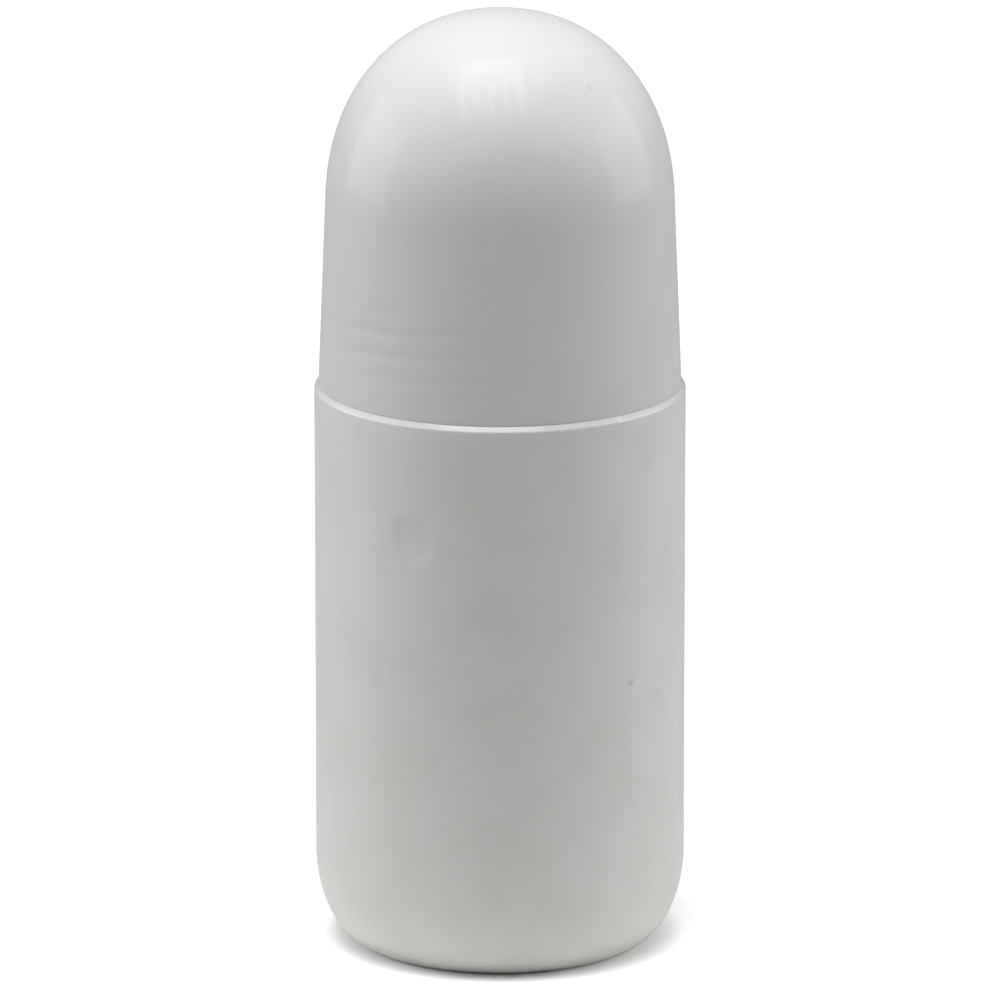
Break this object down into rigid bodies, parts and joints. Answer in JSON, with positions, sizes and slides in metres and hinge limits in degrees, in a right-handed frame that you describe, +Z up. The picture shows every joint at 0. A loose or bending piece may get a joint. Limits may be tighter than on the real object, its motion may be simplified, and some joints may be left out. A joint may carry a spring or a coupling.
{
  "type": "roll-on bottle",
  "caption": "Plain roll-on bottle with a rounded base, a ball in a pressed-in housing and a domed screw cap with a soft liner.",
  "frame": {"origin": "centre of the standing ring, on the surface that the bottle stands on", "axes": "+Z up along the bottle's axis through the cap's crown, +X to the right and +Y away as seen from the front"},
  "size_m": [0.038, 0.038, 0.0974],
  "materials": {
    "bottle_plastic": "satin white polyethylene, blow moulded",
    "housing_plastic": "natural white low-density polyethylene",
    "ball_plastic": "polished white polypropylene",
    "cap_plastic": "white polypropylene, semi-gloss, injection moulded",
    "liner_foam": "dull white expanded polyethylene"
  },
  "bodies": {
    "bottle": {"bottle": "bottle_plastic", "ball_housing": "housing_plastic"},
    "ball": {"ball": "ball_plastic"},
    "cap_liner": {"cap_liner": "liner_foam"},
    "cap": {"cap": "cap_plastic"}
  },
  "joints": [
    {"name": "ball_roll", "type": "hinge", "parent": "bottle", "child": "ball", "pos_m": [0, 0, 0.07679], "axis": [1, 0, 0], "continuous": true},
    {"name": "cap_lift", "type": "slide", "parent": "bottle", "child": "cap_liner", "axis": [0, 0, 1], "range_m": [0, 0.036]},
    {"name": "cap_turn", "type": "hinge", "parent": "cap_liner", "child": "cap", "pos_m": [0, 0, 0.059], "axis": [0, 0, 1], "range_deg": [0, 1800]}
  ],
  "couplings": [
    {"joint": "cap_lift", "follows": "cap_turn", "m_per_rad": 0.0011459}
  ]
}
